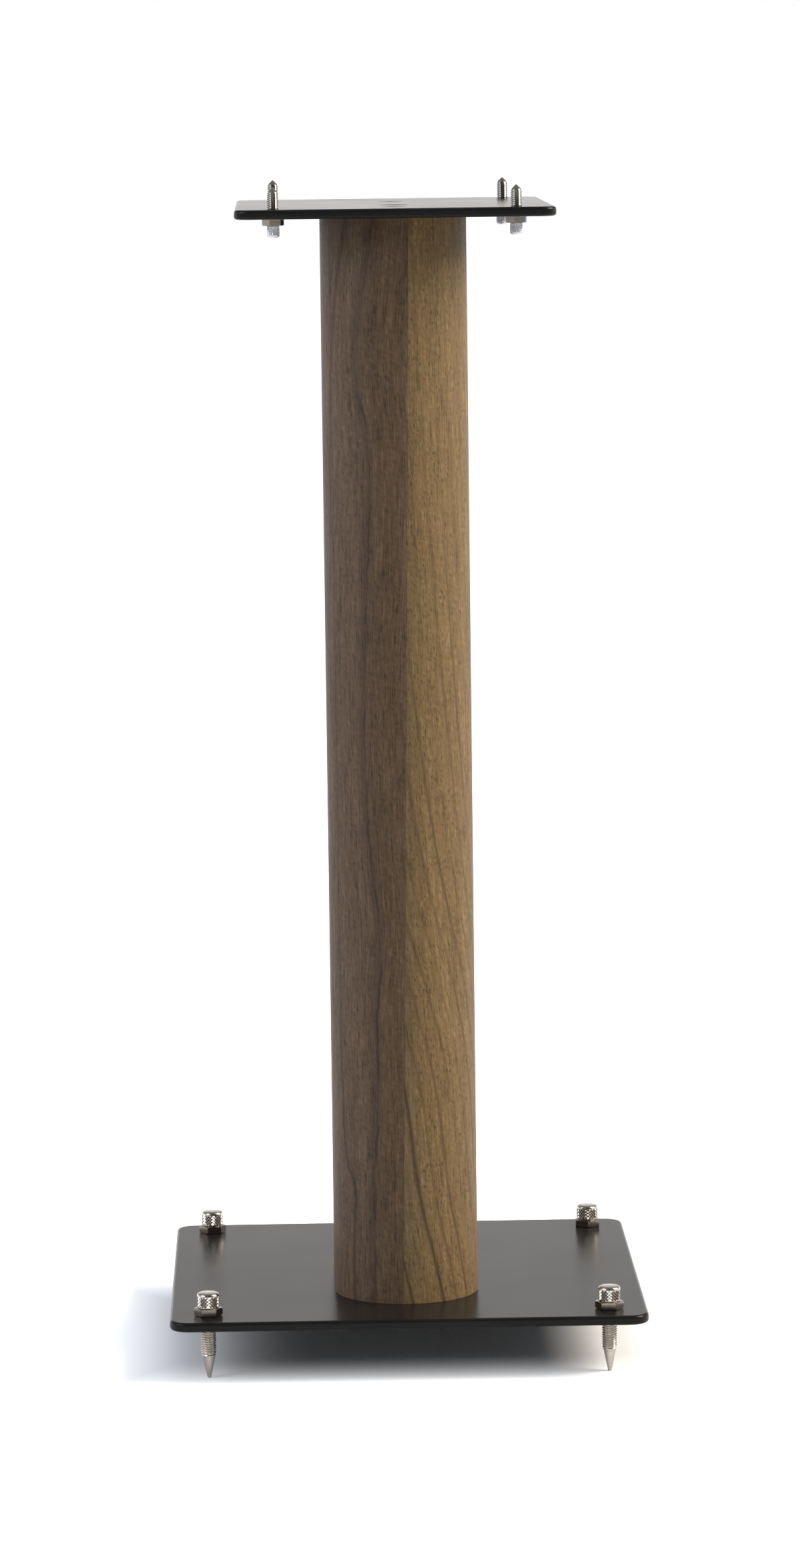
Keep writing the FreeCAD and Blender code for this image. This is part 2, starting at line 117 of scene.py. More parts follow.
def turned_piece(name, node, rings, steps, sharp_angle):
    """One closed turned piece in the place of a CAD node."""
    bm = bmesh.new()
    stack_rings(bm, rings, centre_of(node), steps)
    return stand_in_for(finish_mesh(bm, name, sharp_angle), node)


print("mesh helpers ready")

# %% [markdown]
# ## Screw threads
# A thread could be a bump in the material, but its outline would stay straight, and the spikes stand
# against a white floor. So the rings are set close together and each radius follows the helix. Where
# a thread starts or ends, it grows out of the plain bar.

# %% Threads
THREAD_STEPS = 40
ROWS_PER_TURN = 10
THREAD_SHARP = radians(50)
FLANK_SLOPE, FLAT = 1.3, 0.15


def thread_radius(height, angle, crest, depth, pitch):
    """A V thread with a small flat on its crest and in its root."""
    phase = (height / pitch - angle / tau) % 1.0
    rise = abs(phase * 2 - 1) * FLANK_SLOPE - FLAT
    return crest - depth * (1 - min(1.0, max(0.0, rise)))


def threaded_rings(low, high, crest, depth, pitch, fade_low, fade_high):
    """Rings of a thread from low to high. Over the fades it grows out of the plain bar."""
    count = round((high - low) / pitch * ROWS_PER_TURN)
    rings = []
    for row in range(count + 1):
        height = low + (high - low) * row / count
        grown = min(1.0, (height - low) / fade_low, (high - height) / fade_high)
        radii = []
        for step in range(THREAD_STEPS):
            radius = thread_radius(height, tau * step / THREAD_STEPS, crest, depth, pitch)
            radii.append(crest - depth + (radius - crest + depth) * grown)
        rings.append((height, radii))
    return rings


print("thread:", THREAD_STEPS, "steps round and", ROWS_PER_TURN, "rows a turn")

# %% [markdown]
# ## Floor spikes
# On the real stand each spike is one bar: a blunt tip, a slim cone with a slight belly, a short
# run-out and then a right-hand thread up to its knob. Inside the knob the bar is plain, so that the
# two skins don't cross.

# %% Spikes
SPIKE_PITCH = 1.25 * MM
SPIKE_CREST = 4.0 * MM
SPIKE_DEPTH = 0.62 * MM
SPIKE_CORE = 3.78 * MM
# Height above the tip and radius, both in millimetres
SPIKE_CONE = ((0, 0.75), (0.15, 0.95), (6, 2.13), (11, 3.1), (11.3, 3.2))
CONE_TO_THREAD = 0.2 * MM
SPIKE_RUN_OUT = 1.6 * MM
THREAD_IN_KNOB = 0.6 * MM
KNOB_RUN_OUT = 0.5 * MM
NECK = 0.1 * MM
SPIKE_BEVEL = 0.4 * MM


def make_spike(place):
    """One floor spike."""
    node = f"foot_spike_{place}"
    low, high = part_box(node)
    rings = [(low.z + height * MM, radius * MM) for height, radius in SPIKE_CONE]
    thread_start = rings[-1][0] + CONE_TO_THREAD
    thread_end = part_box(f"foot_knob_{place}")[0].z + THREAD_IN_KNOB
    rings += threaded_rings(
        thread_start, thread_end, SPIKE_CREST, SPIKE_DEPTH, SPIKE_PITCH, SPIKE_RUN_OUT, KNOB_RUN_OUT)
    rings += [
        (thread_end + NECK, SPIKE_CREST - SPIKE_DEPTH),
        (high.z - SPIKE_BEVEL, SPIKE_CORE),
        (high.z, SPIKE_CORE - SPIKE_BEVEL),
    ]
    return turned_piece(f"spike_{place}", node, rings, THREAD_STEPS, THREAD_SHARP)


spikes = [make_spike(place) for place in CORNERS]
print("spikes:", len(spikes), "with", len(spikes[0].data.polygons), "faces each")

# %% [markdown]
# ## Knobs
# A knob is a small drum on top of its spike, with a full round rim. Its side is knurled: a tool has
# pressed two crossing sets of grooves into it and left rows of little pyramids. Boolean cuts for all
# the grooves would be slow and would leave slivers. So vertices on the crest and in the valley take
# turns, like the squares of a chessboard, and every face is split along its groove.

# %% Knobs
KNURL_COUNT = 22
KNURL_DEPTH = 0.42 * MM
KNURL_ROW = 0.8 * MM
KNURL_SHARP = radians(20)
KNOB_FOOT = 0.35 * MM
FOOT_INSET = 0.3 * MM
RIM_ROUND = 1.6 * MM
RIM_INSET = 0.08 * MM
RIM_STEPS = 8
BORE_GAP = 0.07 * MM
BORE_END_GAP = 0.05 * MM


def quarter_round(rim_round, steps):
    """Rise and inset of the points along a rounded rim, from its side to its flat."""
    angles = (pi / 2 * step / steps for step in range(steps + 1))
    return [(rim_round * sin(angle), rim_round * (1 - cos(angle))) for angle in angles]


def split_along_grooves(bm, rows, first, last, steps):
    """Each face of the knurl split between its two valley corners."""
    bm.faces.ensure_lookup_table()
    for row in range(first, last):
        for step in range(steps):
            following = (step + 1) % steps
            quad = (
                rows[row][step], rows[row][following],
                rows[row + 1][following], rows[row + 1][step],
            )
            face = next(f for f in quad[0].link_faces if all(v in f.verts for v in quad))
            even = (step + row - first) % 2 == 0
            ends = (quad[1], quad[3]) if even else (quad[0], quad[2])
            bmesh.utils.face_split(face, *ends)


def make_knob(place):
    """One knurled knob, with the bore for its spike."""
    node = f"foot_knob_{place}"
    low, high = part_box(node)
    radius = (high.x - low.x) / 2
    valley = radius - KNURL_DEPTH
    bore = SPIKE_CORE + BORE_GAP
    bore_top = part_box(f"foot_spike_{place}")[1].z + BORE_END_GAP
    rings = [(bore_top, bore), (low.z, bore), (low.z, valley - FOOT_INSET)]
    first_side = len(rings)
    steps = 2 * KNURL_COUNT
    side_low, side_high = low.z + KNOB_FOOT, high.z - RIM_ROUND
    count = round((side_high - side_low) / KNURL_ROW)
    for row in range(count + 1):
        height = side_low + (side_high - side_low) * row / count
        ends = row in (0, count)
        rings.append((height, [
            valley if ends or (step + row) % 2 else radius for step in range(steps)]))
    last_side = len(rings) - 1
    for rise, inset in quarter_round(RIM_ROUND, RIM_STEPS):
        rings.append((side_high + rise, radius - RIM_INSET - inset))
    bm = bmesh.new()
    rows = stack_rings(bm, rings, centre_of(node), steps)
    split_along_grooves(bm, rows, first_side, last_side, steps)
    return stand_in_for(finish_mesh(bm, f"knob_{place}", KNURL_SHARP), node)


knobs = [make_knob(place) for place in CORNERS]
print("knobs:", len(knobs), "with", len(knobs[0].data.polygons), "faces each")

# %% [markdown]
# ## Studs
# A stud is a finer thread with a short cone and a blunt tip, and it stands up through the top plate
# to carry the loudspeaker. It is made the way the spikes are. Its lower end is a plain spigot that
# sits in a fluted head below the plate.

# %% Studs
STUD_PITCH = 1.0 * MM
STUD_DEPTH = 0.5 * MM
STUD_POINT = 2.4 * MM
STUD_SHOULDER = 2.6 * MM
SHOULDER_RISE = 0.15 * MM
STUD_TIP = 0.42 * MM
STUD_TIP_FLAT = 0.25 * MM
TIP_ROUND = 0.12 * MM
SPIGOT = 1.5 * MM
HEAD_GAP = 0.05 * MM
STUD_RUN_OUT = 0.5 * MM
POINT_RUN_OUT = 0.7 * MM


def make_stud(place):
    """One stud, threaded from its head to the cone at the tip."""
    node = f"top_stud_{place}"
    low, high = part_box(node)
    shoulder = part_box(f"stud_head_{place}")[1].z + HEAD_GAP
    crest = (high.x - low.x) / 2
    point = high.z - STUD_POINT
    rings = [(low.z, SPIGOT), (shoulder, SPIGOT), (shoulder, crest - STUD_DEPTH)]
    rings += threaded_rings(
        shoulder + HEAD_GAP, point, crest, STUD_DEPTH, STUD_PITCH, STUD_RUN_OUT, POINT_RUN_OUT)
    rings += [
        (point + SHOULDER_RISE, STUD_SHOULDER),
        (high.z - TIP_ROUND, STUD_TIP),
        (high.z, STUD_TIP_FLAT),
    ]
    return turned_piece(f"stud_{place}", node, rings, THREAD_STEPS, THREAD_SHARP)


studs = [make_stud(place) for place in CORNERS]
print("studs:", len(studs), "with", len(studs[0].data.polygons), "faces each")

# %% [markdown]
# ## Stud heads
# Each stud turns by a small round head with straight flutes, so that fingers can grip it. The flutes
# are one wave run round the ring. They fade out into the rounded lower rim, as a milling cutter
# leaves them.

# %% Heads
FLUTES = 20
STEPS_PER_FLUTE = 6
FLUTE_DEPTH = 0.3 * MM
RIM_FLUTE_SHARE = 0.25
FLUTE_SHARP = radians(40)
HEAD_ROUND = 1.2 * MM
HEAD_ROUND_STEPS = 5
FLUTE_RISE = 0.3 * MM
TOP_CHAMFER_RISE, TOP_CHAMFER_INSET = 0.25 * MM, 0.45 * MM
HEAD_BORE = 1.55 * MM


def make_head(place):
    """One fluted head with a rounded lower rim and the bore for the spigot."""
    node = f"stud_head_{place}"
    low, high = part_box(node)
    radius = (high.x - low.x) / 2
    bore_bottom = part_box(f"top_stud_{place}")[0].z - HEAD_GAP
    steps = FLUTES * STEPS_PER_FLUTE
    waves = [
        FLUTE_DEPTH * (0.5 - 0.5 * cos(tau * step / STEPS_PER_FLUTE)) for step in range(steps)]
    fluted = [radius - wave for wave in waves]
    shallow = [radius - RIM_FLUTE_SHARE * wave for wave in waves]
    rim = low.z + HEAD_ROUND
    rounded = [(rim - rise, radius - inset)
               for rise, inset in quarter_round(HEAD_ROUND, HEAD_ROUND_STEPS)]
    rings = rounded[:0:-1] + [
        (rim, shallow),
        (rim + FLUTE_RISE, fluted),
        (high.z - TOP_CHAMFER_RISE, fluted),
        (high.z, radius - TOP_CHAMFER_INSET),
        (high.z, HEAD_BORE),
        (bore_bottom, HEAD_BORE),
    ]
    return turned_piece(f"head_{place}", node, rings, steps, FLUTE_SHARP)


heads = [make_head(place) for place in CORNERS]
print("heads:", len(heads), "with", len(heads[0].data.polygons), "faces each")

# %% [markdown]
# ## Two leaves of veneer
# On the real stand two leaves of walnut are glued round the halves of the column. They meet in a seam
# at its nose that leans a little, and both edges dip into it. One skin cut in two would do for the
# shape, but the grain has to follow the bend. So each leaf is a grid, and every vertex keeps its
# place on the flat leaf in millimetres: how far round from the nose, and how far up.

# %% Measures of the leaves
leaf_low, leaf_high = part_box("veneer_left")[0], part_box("veneer_right")[1]
NOSE = leaf_high.x
FRONT_NOSE_Y = leaf_low.y + NOSE
REAR_NOSE_Y = leaf_high.y - NOSE
QUARTER = NOSE * pi / 2
HALF_ROUND = 2 * QUARTER + (REAR_NOSE_Y - FRONT_NOSE_Y)
LEAF_THICKNESS = 0.58 * MM
SEAM_FOOT, SEAM_HEAD = -2.6 * MM, 7.0 * MM
SEAM_DIP = 0.16 * MM
# The columns of vertices next to the seam: share of the way round, and share of the dip
SEAM_COLUMNS = ((0, 1.0), (0.0008, 0.5), (0.002, 0.12), (0.004, 0))
LEAF_COLUMNS = 150
LEAF_ROWS = 24
# A narrow row at each end keeps the rim from shading the rows beside it
END_ROW = 0.0004
LEAF_SHARP = radians(60)
print("round half the column:", round(HALF_ROUND / MM, 1), "mm")

# %% Leaves


def on_column(distance):
    """The point on the column's outside at a distance round from the front, and the way out."""
    side = RIGHT if distance >= 0 else LEFT
    along = abs(distance)
    if along <= QUARTER:
        angle = along / NOSE
        out = Vector((side * sin(angle), -cos(angle)))
        return Vector((0, FRONT_NOSE_Y)) + out * NOSE, out
    if along <= HALF_ROUND - QUARTER:
        out = Vector((side, 0))
        return Vector((side * NOSE, FRONT_NOSE_Y + along - QUARTER)), out
    angle = (along - (HALF_ROUND - QUARTER)) / NOSE
    out = Vector((side * cos(angle), sin(angle)))
    return Vector((0, REAR_NOSE_Y)) + out * NOSE, out


def leaf_grid(bm, side, low, height):
    """The leaf's outer face. Gives each vertex's place on the flat leaf."""
    seam_end = SEAM_COLUMNS[-1][0]
    columns = list(SEAM_COLUMNS)
    for step in range(1, LEAF_COLUMNS + 1):
        columns.append((seam_end + (1 - seam_end) * step / LEAF_COLUMNS, 0))
    levels = [0, END_ROW] + [row / LEAF_ROWS for row in range(1, LEAF_ROWS)] + [1 - END_ROW, 1]
    grid, places = [], []
    for level in levels:
        seam = SEAM_FOOT + (SEAM_HEAD - SEAM_FOOT) * level
        line = []
        for share, dip in columns:
            distance = seam + (side * HALF_ROUND - seam) * share
            spot, out = on_column(distance)
            spot = spot - out * dip * SEAM_DIP
            line.append(bm.verts.new((spot.x, spot.y, low + height * level)))
            places.append((distance / MM, height * level / MM, 0))
        grid.append(line)
    for lower, upper in zip(grid, grid[1:]):
        for column in range(len(columns) - 1):
            corners = (lower[column], lower[column + 1], upper[column + 1], upper[column])
            bm.faces.new(corners if side == RIGHT else corners[::-1])
    return places


def make_leaf(name, side, node):
    """One leaf of veneer from the seam at the front to the seam at the rear."""
    low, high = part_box(node)
    bm = bmesh.new()
    places = leaf_grid(bm, side, low.z, high.z - low.z)
    piece = finish_mesh(bm, name, LEAF_SHARP)
    attribute = piece.data.attributes.new("leaf_place", "FLOAT_VECTOR", "POINT")
    for number, place in enumerate(places):
        attribute.data[number].vector = place
    solid = piece.modifiers.new("thickness", "SOLIDIFY")
    solid.thickness = LEAF_THICKNESS
    solid.offset = -1
    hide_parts(node)
    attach(piece, "stand")
    return piece


leaf_left = make_leaf("leaf_left", LEFT, "veneer_left")
leaf_right = make_leaf("leaf_right", RIGHT, "veneer_right")
print("veneer leaves:", len(leaf_left.data.polygons), "faces each")

# %% [markdown]
# ## Building materials
# Materials could be clicked together by hand, but a script can be read and run again. These helpers
# add nodes and join them. Colours are written as they look on a screen, from 0 to 255.

# %% Node helpers


def linear(*levels):
    """A colour from its screen levels."""
    shares = [level / 255 for level in levels]
    return tuple(
        share / 12.92 if share <= 0.04045 else ((share + 0.055) / 1.055) ** 2.4 for share in shares)


def add(tree, kind, inputs=None, **settings):
    """A node of a kind, with its settings, and its inputs set or joined."""
    node = tree.nodes.new(kind)
    for name, setting in settings.items():
        setattr(node, name, setting)
    for key, given in (inputs or {}).items():
        if isinstance(given, bpy.types.NodeSocket):
            tree.links.new(given, node.inputs[key])
        else:
            node.inputs[key].default_value = given
    return node


def calculate(tree, operation, *operands):
    """The result of a sum, product or other calculation."""
    return add(tree, "ShaderNodeMath", dict(enumerate(operands)), operation=operation).outputs[0]


def between(tree, share, first, second):
    """A number that is the first at share 0 and the second at share 1."""
    return calculate(tree, "MULTIPLY_ADD", share, calculate(tree, "SUBTRACT", second, first), first)


def fade(tree, amount, low, high, start=0.0, end=1.0):
    """A soft step: start where the amount is at low, end where it is at high."""
    values = {0: amount, 1: low, 2: high, 3: start, 4: end}
    return add(tree, "ShaderNodeMapRange", values, interpolation_type="SMOOTHSTEP").outputs[0]


def mix_colours(tree, share, first, second):
    """A colour that is the first at share 0 and the second at share 1."""
    values = {0: share}
    for key, colour in ((6, first), (7, second)):
        values[key] = colour if isinstance(colour, bpy.types.NodeSocket) else (*colour, 1)
    return add(tree, "ShaderNodeMix", values, data_type="RGBA").outputs[2]


def new_group(name, inputs, outputs):
    """A node group with named sockets. Gives the group, its input node and its output node."""
    group = bpy.data.node_groups.new(name, "ShaderNodeTree")
    for label, kind, start in inputs:
        socket = group.interface.new_socket(label, in_out="INPUT", socket_type=kind)
        socket.default_value = start
    for label, kind in outputs:
        group.interface.new_socket(label, in_out="OUTPUT", socket_type=kind)
    return group, group.nodes.new("NodeGroupInput"), group.nodes.new("NodeGroupOutput")


def use(tree, group, **inputs):
    """One use of a node group. Gives its outputs."""
    return add(tree, "ShaderNodeGroup", inputs, node_tree=group).outputs


def new_material(name, slot_colour, **constants):
    """A material with one Principled shader. The constants are set on the shader's own sockets."""
    material = bpy.data.materials.new(name)
    material.use_nodes = True
    material.diffuse_color = (*slot_colour, 1)
    tree = material.node_tree
    tree.nodes.clear()
    shader = add(tree, "ShaderNodeBsdfPrincipled")
    add(tree, "ShaderNodeOutputMaterial", {"Surface": shader.outputs[0]})
    for label, level in constants.items():
        shader.inputs[label.replace("_", " ")].default_value = level
    return material, tree, shader


def roughen(tree, shader, height, strength, distance):
    """A relief on the surface. The distance is its depth in millimetres."""
    values = {"Height": height, "Strength": strength, "Distance": distance * MM}
    tree.links.new(add(tree, "ShaderNodeBump", values).outputs[0], shader.inputs["Normal"])


def give(material, *pieces):
    """The material as the only one on each piece."""
    for piece in pieces:
        piece.data.materials.clear()
        piece.data.materials.append(material)


print("node helpers ready")

# %% [markdown]
# ## Two effects that many materials share
# *Streaks* is noise drawn out along one direction: wood grain, plies and the marks of a lathe are all
# streaks of some width and length. *Vein* is a soft dark line along a curve. Each is a node group, so
# that every material can use it with its own numbers.

# %% Shared node groups
FLOAT, COLOUR = "NodeSocketFloat", "NodeSocketColor"
# Noise seldom leaves this range, so it is stretched to run from 0 to 1
NOISE_LOW, NOISE_HIGH = 0.25, 0.75

streaks, group_in, group_out = new_group(
    "streaks",
    (
        ("Across", FLOAT, 0.0),
        ("Along", FLOAT, 0.0),
        ("Width", FLOAT, 1.0),
        ("Length", FLOAT, 100.0),
        ("Detail", FLOAT, 2.0),
        ("Seed", FLOAT, 0.0),
    ),
    (("Amount", FLOAT),),
)
across = calculate(streaks, "DIVIDE", group_in.outputs["Across"], group_in.outputs["Width"])
along = calculate(streaks, "DIVIDE", group_in.outputs["Along"], group_in.outputs["Length"])
spot = add(streaks, "ShaderNodeCombineXYZ", {0: across, 1: along, 2: group_in.outputs["Seed"]})
noise = add(streaks, "ShaderNodeTexNoise", {
    "Vector": spot.outputs[0], "Scale": 1.0, "Detail": group_in.outputs["Detail"]})
amount = add(streaks, "ShaderNodeMapRange", {
    0: noise.outputs[0], 1: NOISE_LOW, 2: NOISE_HIGH, 3: 0.0, 4: 1.0})
streaks.links.new(amount.outputs[0], group_out.inputs["Amount"])

vein, group_in, group_out = new_group(
    "vein",
    (("Offset", FLOAT, 0.0), ("Width", FLOAT, 1.0), ("Strength", FLOAT, 1.0)),
    (("Darkness", FLOAT),),
)
share = calculate(vein, "DIVIDE", group_in.outputs["Offset"], group_in.outputs["Width"])
line = fade(vein, calculate(vein, "ABSOLUTE", share), 0.0, 1.0, 1.0, 0.0)
strong = calculate(vein, "MULTIPLY", line, group_in.outputs["Strength"])
vein.links.new(strong, group_out.inputs["Darkness"])
print("node groups:", [group.name for group in bpy.data.node_groups])

# %% [markdown]
# ## Walnut
# Walnut has long streaks of brown over one another, short dark pores and here and there a vein. A
# wave texture would give even stripes, which no tree has. So streaks of four widths are added up, and
# the wood's curl is laid across them. The three wider ones follow a flow line up the leaf, so that
# they bend together.

# %% The walnut group
walnut, group_in, group_out = new_group(
    "walnut",
    (
        ("Flow", FLOAT, 0.0),
        ("Round", FLOAT, 0.0),
        ("Height", FLOAT, 0.0),
        ("Veins", FLOAT, 0.0),
        ("Pores", FLOAT, 0.5),
        ("Contrast", FLOAT, 1.0),
        ("Dark", COLOUR, (0, 0, 0, 1)),
        ("Middle", COLOUR, (0, 0, 0, 1)),
        ("Light", COLOUR, (0, 0, 0, 1)),
        ("Seed", FLOAT, 0.0),
    ),
    (("Color", COLOUR), ("Roughness", FLOAT), ("Height", FLOAT)),
)
flow, round_way, up, seed = (
    group_in.outputs[name] for name in ("Flow", "Round", "Height", "Seed"))
PORE_COLOUR = linear(46, 34, 27)
PORE_SLANT = 0.16
CURL_SLANT = 0.35
# How much each kind of streak says in the wood's tone
BROAD, MEDIUM, FINE, HAIR, CURL = 0.12, 0.16, 0.36, 0.2, 0.16


def grain(across_field, width, length, detail, extra_seed):
    """Streaks inside the walnut group, with their width and length in millimetres."""
    own_seed = calculate(walnut, "ADD", seed, extra_seed)
    return use(walnut, streaks, Across=across_field, Along=up, Width=width, Length=length,
               Detail=detail, Seed=own_seed)[0]


broad = grain(flow, width=8.0, length=130.0, detail=1.0, extra_seed=0.0)
medium = grain(flow, width=2.2, length=42.0, detail=2.0, extra_seed=5.0)
fine = grain(flow, width=0.65, length=15.0, detail=3.0, extra_seed=11.0)
hair = grain(round_way, width=0.45, length=5.0, detail=1.0, extra_seed=17.0)
slanted = calculate(walnut, "MULTIPLY_ADD", up, PORE_SLANT, round_way)
pores = grain(slanted, width=0.58, length=2.9, detail=1.0, extra_seed=23.0)
pore_beds = grain(round_way, width=7.0, length=16.0, detail=2.0, extra_seed=37.0)
curl_way = calculate(walnut, "MULTIPLY_ADD", round_way, CURL_SLANT, up)
curl = use(walnut, streaks, Across=curl_way, Along=round_way, Width=2.2, Length=3.5, Seed=seed)[0]
print("kinds of streak:", sum(node.type == "GROUP" for node in walnut.nodes))

# %% Tone, pores and relief of the walnut
# The tones at which the wood is fully dark, middle and light
DARK_TONE, MIDDLE_TONE, LIGHT_TONE = 0.28, 0.5, 0.7
PORE_STARTS, PORE_FULL = 0.55, 0.82

tone = calculate(walnut, "MULTIPLY", broad, BROAD)
for part, weight in ((medium, MEDIUM), (fine, FINE), (hair, HAIR), (curl, CURL)):
    tone = calculate(walnut, "MULTIPLY_ADD", part, weight, tone)
off_middle = calculate(walnut, "SUBTRACT", tone, MIDDLE_TONE)
tone = calculate(walnut, "MULTIPLY_ADD", off_middle, group_in.outputs["Contrast"], MIDDLE_TONE)
lower = fade(walnut, tone, DARK_TONE, MIDDLE_TONE)
upper = fade(walnut, tone, MIDDLE_TONE, LIGHT_TONE)
colour = mix_colours(walnut, lower, group_in.outputs["Dark"], group_in.outputs["Middle"])
colour = mix_colours(walnut, upper, colour, group_in.outputs["Light"])
pore = calculate(walnut, "MULTIPLY", fade(walnut, pores, PORE_STARTS, PORE_FULL),
                 fade(walnut, pore_beds, 0.2, 0.75, 0.3, 1.0))
pore = calculate(walnut, "MULTIPLY", pore, group_in.outputs["Pores"])
darker = calculate(walnut, "MAXIMUM", pore, group_in.outputs["Veins"])
colour = mix_colours(walnut, darker, colour, PORE_COLOUR)
relief = calculate(walnut, "SUBTRACT", calculate(walnut, "MULTIPLY", hair, 0.35), darker)
walnut.links.new(colour, group_out.inputs["Color"])
walnut.links.new(fade(walnut, tone, 0.2, 0.8, 0.58, 0.48), group_out.inputs["Roughness"])
walnut.links.new(relief, group_out.inputs["Height"])
print("walnut group:", len(walnut.nodes), "nodes")

# %% [markdown]
# ## Flow lines
# Each leaf has main lines that anyone would know it by. A painted picture could hold them, but it
# would be one more file and would blur from close by. So they are curves that give a distance round
# the leaf for every height, both in millimetres, with their points listed.

# %% Curves up a leaf
CURVE_HEIGHT = 570.0
CURVE_SPAN = 140.0


def curve_up(tree, up_field, *points):
    """A distance that changes with the height, from points (height, distance)."""
    node = add(tree, "ShaderNodeFloatCurve", {
        "Factor": 1.0, "Value": calculate(tree, "DIVIDE", up_field, CURVE_HEIGHT)})
    curve = node.mapping.curves[0]
    spots = sorted((height / CURVE_HEIGHT, distance / CURVE_SPAN + 0.5)
                   for height, distance in points)
    while len(curve.points) < len(spots):
        curve.points.new(0.5, 0.5)
    for point, spot in zip(curve.points, spots):
        point.location = spot
    node.mapping.update()
    return calculate(tree, "MULTIPLY_ADD", node.outputs[0], CURVE_SPAN, -CURVE_SPAN / 2)


def leaf_fields(tree):
    """How far round and how far up a point of the leaf is, in millimetres."""
    place = add(tree, "ShaderNodeAttribute", attribute_name="leaf_place").outputs["Vector"]
    parts = add(tree, "ShaderNodeSeparateXYZ", {0: place})
    return parts.outputs[0], parts.outputs[1]


def finish_walnut(tree, shader, **inputs):
    """Joins the walnut group to a leaf's shader."""
    wood = use(tree, walnut, **inputs)
    tree.links.new(wood["Color"], shader.inputs["Base Color"])
    tree.links.new(wood["Roughness"], shader.inputs["Roughness"])
    roughen(tree, shader, wood["Height"], strength=0.25, distance=0.02)


print("curves reach", CURVE_HEIGHT, "mm up")

# %% [markdown]
# ## The left leaf
# It is the darker and cooler one. A dark vein with a soft band beside it wanders up its middle, and
# the wood between the vein and the seam is browner. Two fainter veins lie near the edge, one at the
# head and one at the foot.

# %% Walnut on the left
walnut_left, tree, shader = new_material("walnut_left", linear(90, 75, 64), IOR=1.3)
round_field, up_field = leaf_fields(tree)
main_vein = curve_up(
    tree, up_field,
    (0, -17.5), (67, -17), (106, -14.8), (152, -14.7), (193, -11.5), (213, -13.8), (236, -17),
    (293, -19.7), (396, -16.7), (427, -15), (459, -16), (474, -19.1), (503, -21.5), (543, -15.4),
    (570, -11.5))
upper_vein = curve_up(
    tree, up_field, (0, -44), (445, -43.8), (500, -41), (535, -35.6), (564, -28.8), (570, -27.6))
lower_vein = curve_up(
    tree, up_field,
    (0, -31), (8, -31), (37, -31), (57, -29.3), (77, -36.4), (116, -39.4), (200, -40.5),
    (570, -41.5))
WANDER = 1.4
BAND_OFFSET = 1.0
LEFT_BEND = 0.45

wander = use(tree, streaks, Across=up_field, Along=round_field, Width=6.0, Length=40.0, Seed=71.0)
off_vein = calculate(
    tree, "MULTIPLY_ADD", calculate(tree, "SUBTRACT", wander[0], 0.5), WANDER,
    calculate(tree, "SUBTRACT", round_field, main_vein))
patchy = use(tree, streaks, Across=round_field, Along=up_field, Width=9.0, Length=30.0, Seed=77.0)
dark_line = use(tree, vein, Offset=off_vein, Width=1.7,
                Strength=fade(tree, patchy[0], 0.15, 0.8, 0.45, 0.85))[0]
dark_band = use(tree, vein, Offset=calculate(tree, "ADD", off_vein, BAND_OFFSET), Width=6.0,
                Strength=0.46)[0]
dark_upper = use(tree, vein, Offset=calculate(tree, "SUBTRACT", round_field, upper_vein),
                 Width=2.6, Strength=fade(tree, up_field, 300.0, 470.0, 0.0, 0.5))[0]
dark_lower = use(tree, vein, Offset=calculate(tree, "SUBTRACT", round_field, lower_vein),
                 Width=2.2, Strength=fade(tree, up_field, 110.0, 220.0, 0.55, 0.28))[0]
all_veins = dark_line
for other in (dark_band, dark_upper, dark_lower):
    all_veins = calculate(tree, "MAXIMUM", all_veins, other)
bend = calculate(tree, "MULTIPLY", main_vein, LEFT_BEND)
by_seam = fade(tree, off_vein, 0.0, 5.0)
finish_walnut(
    tree, shader,
    Flow=calculate(tree, "SUBTRACT", round_field, bend), Round=round_field, Height=up_field,
    Veins=all_veins, Pores=0.4, Contrast=0.95, Seed=2.0,
    Dark=mix_colours(tree, by_seam, linear(64, 50, 40), linear(56, 43, 33)),
    Middle=mix_colours(tree, by_seam, linear(94, 76, 61), linear(86, 68, 51)),
    Light=mix_colours(tree, by_seam, linear(114, 94, 76), linear(106, 86, 65)),
)
give(walnut_left, leaf_left)
print("left leaf:", len(tree.nodes), "nodes")

# %% [markdown]
# ## The right leaf
# It is lighter and more golden, and rich in pores. Its growth rings run in slanted lines from the
# foot's outer side up to the seam, one beside the other, and the first of them is the darkest. One
# line repeated at an even distance and faded in and out gives them all.

# %% Walnut on the right
walnut_right, tree, shader = new_material("walnut_right", linear(120, 98, 78), IOR=1.33)
round_field, up_field = leaf_fields(tree)
ring_path = curve_up(
    tree, up_field,
    (0, 63), (23, 57.9), (57, 50), (113, 42.5), (157, 32), (230, 12), (300, 1), (420, -10),
    (570, -18))
RING_SPACING = 8.6
FIRST_RING = 43.0
RIGHT_BEND = 0.4

